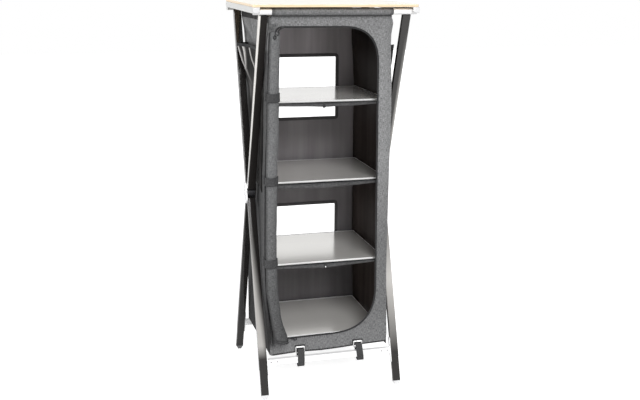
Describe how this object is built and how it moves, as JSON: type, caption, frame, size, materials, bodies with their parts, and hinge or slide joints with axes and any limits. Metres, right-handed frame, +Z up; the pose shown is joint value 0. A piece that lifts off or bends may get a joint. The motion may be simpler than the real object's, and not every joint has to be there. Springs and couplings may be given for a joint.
{
  "type": "folding camp cupboard",
  "caption": "Tall fabric cabinet with stiff shelf boards and a rolled-up door, hung between crossed folding leg frames under a board top.",
  "frame": {"origin": "on the ground under the middle of the cupboard, standing open", "axes": "+X to the right as seen from the door side, -Y towards the door side, +Z up"},
  "size_m": [0.62, 0.5496, 1.5],
  "materials": {
    "black_anodised": "black anodised tube, satin",
    "silver_anodised": "satin silver anodised",
    "pale_plastic": "pale grey moulding",
    "black_plastic": "black moulding",
    "bright_steel": "bright",
    "black_webbing": "woven tape",
    "grey_melange_fabric": "coated polyester, grey melange",
    "dark_lining_fabric": "coated polyester, near black",
    "metallic_grey_board": "thin board with a glossy metallic grey laminate",
    "pale_wood": "pale wood board, satin"
  },
  "bodies": {
    "cabinet": {"front_panel": "grey_melange_fabric", "back_wall": "grey_melange_fabric", "left_wall": "grey_melange_fabric", "right_wall": "grey_melange_fabric", "roof_panel": "grey_melange_fabric", "shelf_sling_1": "dark_lining_fabric", "shelf_sling_2": "dark_lining_fabric", "shelf_sling_3": "dark_lining_fabric", "shelf_sling_4": "dark_lining_fabric", "door_roll": "grey_melange_fabric", "roll_tie_1": "black_webbing", "roll_tie_2": "black_webbing", "roll_tie_3": "black_webbing", "left_pocket": "dark_lining_fabric", "right_pocket": "dark_lining_fabric", "front_strap_left": "black_webbing", "front_strap_right": "black_webbing", "front_buckle_left": "bright_steel", "front_buckle_right": "bright_steel", "rear_strap_left": "black_webbing", "rear_strap_right": "black_webbing", "rear_buckle_left": "bright_steel", "rear_buckle_right": "bright_steel"},
    "front_top_frame": {"front_upper_leg_left": "black_anodised", "front_upper_leg_right": "black_anodised", "rear_lower_leg_left": "black_anodised", "rear_lower_leg_right": "black_anodised", "rear_foot_left": "pale_plastic", "rear_foot_right": "pale_plastic", "inner_joint_plate_left": "black_anodised", "inner_joint_plate_right": "black_anodised", "front_top_bar": "silver_anodised", "rear_bottom_bar": "silver_anodised", "front_sleeve": "grey_melange_fabric"},
    "rear_top_frame": {"rear_upper_leg_left": "black_anodised", "rear_upper_leg_right": "black_anodised", "front_lower_leg_left": "black_anodised", "front_lower_leg_right": "black_anodised", "front_foot_left": "pale_plastic", "front_foot_right": "pale_plastic", "outer_joint_plate_left": "silver_anodised", "outer_joint_plate_right": "silver_anodised", "pivot_pin_left": "bright_steel", "pivot_pin_right": "bright_steel", "pivot_drum_left": "black_plastic", "pivot_drum_right": "black_plastic", "rear_top_bar": "silver_anodised", "front_bottom_bar": "silver_anodised", "rear_sleeve": "grey_melange_fabric"},
    "table_top": {"table_board": "pale_wood", "table_rail_left": "silver_anodised", "table_rail_right": "silver_anodised"},
    "board_1": {"shelf_board_1": "metallic_grey_board"},
    "board_2": {"shelf_board_2": "metallic_grey_board"},
    "board_3": {"shelf_board_3": "metallic_grey_board"},
    "board_4": {"shelf_board_4": "metallic_grey_board"},
    "top_slider": {"top_zip_slider": "bright_steel"},
    "bottom_slider": {"bottom_zip_slider": "bright_steel"}
  },
  "joints": [
    {"name": "front_top_frame_fold", "type": "hinge", "parent": "cabinet", "child": "front_top_frame", "pos_m": [0, 0, 0.763], "axis": [-1, 0, 0], "range_deg": [0, 17.5], "deforming": ["shelf_sling_1", "shelf_sling_2", "shelf_sling_3", "shelf_sling_4", "left_pocket", "right_pocket", "front_strap_left", "front_strap_right", "rear_strap_left", "rear_strap_right"]},
    {"name": "rear_top_frame_fold", "type": "hinge", "parent": "cabinet", "child": "rear_top_frame", "pos_m": [0, 0, 0.763], "axis": [1, 0, 0], "range_deg": [0, 17.5]},
    {"name": "table_top_level", "type": "hinge", "parent": "rear_top_frame", "child": "table_top", "pos_m": [0, 0.24626, 1.4732], "axis": [-1, 0, 0], "range_deg": [0, 17.5]},
    {"name": "board_1_tip", "type": "hinge", "parent": "cabinet", "child": "board_1", "pos_m": [0, 0.05, 0.27128], "axis": [-1, 0, 0], "range_deg": [0, 88]},
    {"name": "board_2_tip", "type": "hinge", "parent": "cabinet", "child": "board_2", "pos_m": [0, 0.05, 0.56828], "axis": [-1, 0, 0], "range_deg": [0, 88]},
    {"name": "board_3_tip", "type": "hinge", "parent": "cabinet", "child": "board_3", "pos_m": [0, 0.05, 0.88928], "axis": [-1, 0, 0], "range_deg": [0, 88]},
    {"name": "board_4_tip", "type": "hinge", "parent": "cabinet", "child": "board_4", "pos_m": [0, 0.05, 1.19328], "axis": [-1, 0, 0], "range_deg": [0, 88]},
    {"name": "top_zip_slide", "type": "slide", "parent": "cabinet", "child": "top_slider", "axis": [1, 0, 0], "range_m": [0, 0.24]},
    {"name": "bottom_zip_slide", "type": "slide", "parent": "cabinet", "child": "bottom_slider", "axis": [1, 0, 0], "range_m": [0, 0.2]}
  ],
  "couplings": [
    {"joint": "rear_top_frame_fold", "follows": "front_top_frame_fold", "ratio": 1},
    {"joint": "table_top_level", "follows": "front_top_frame_fold", "ratio": 1},
    {"joint": "board_1_tip", "follows": "front_top_frame_fold", "ratio": 5},
    {"joint": "board_2_tip", "follows": "front_top_frame_fold", "ratio": 5},
    {"joint": "board_3_tip", "follows": "front_top_frame_fold", "ratio": 5},
    {"joint": "board_4_tip", "follows": "front_top_frame_fold", "ratio": 5}
  ]
}
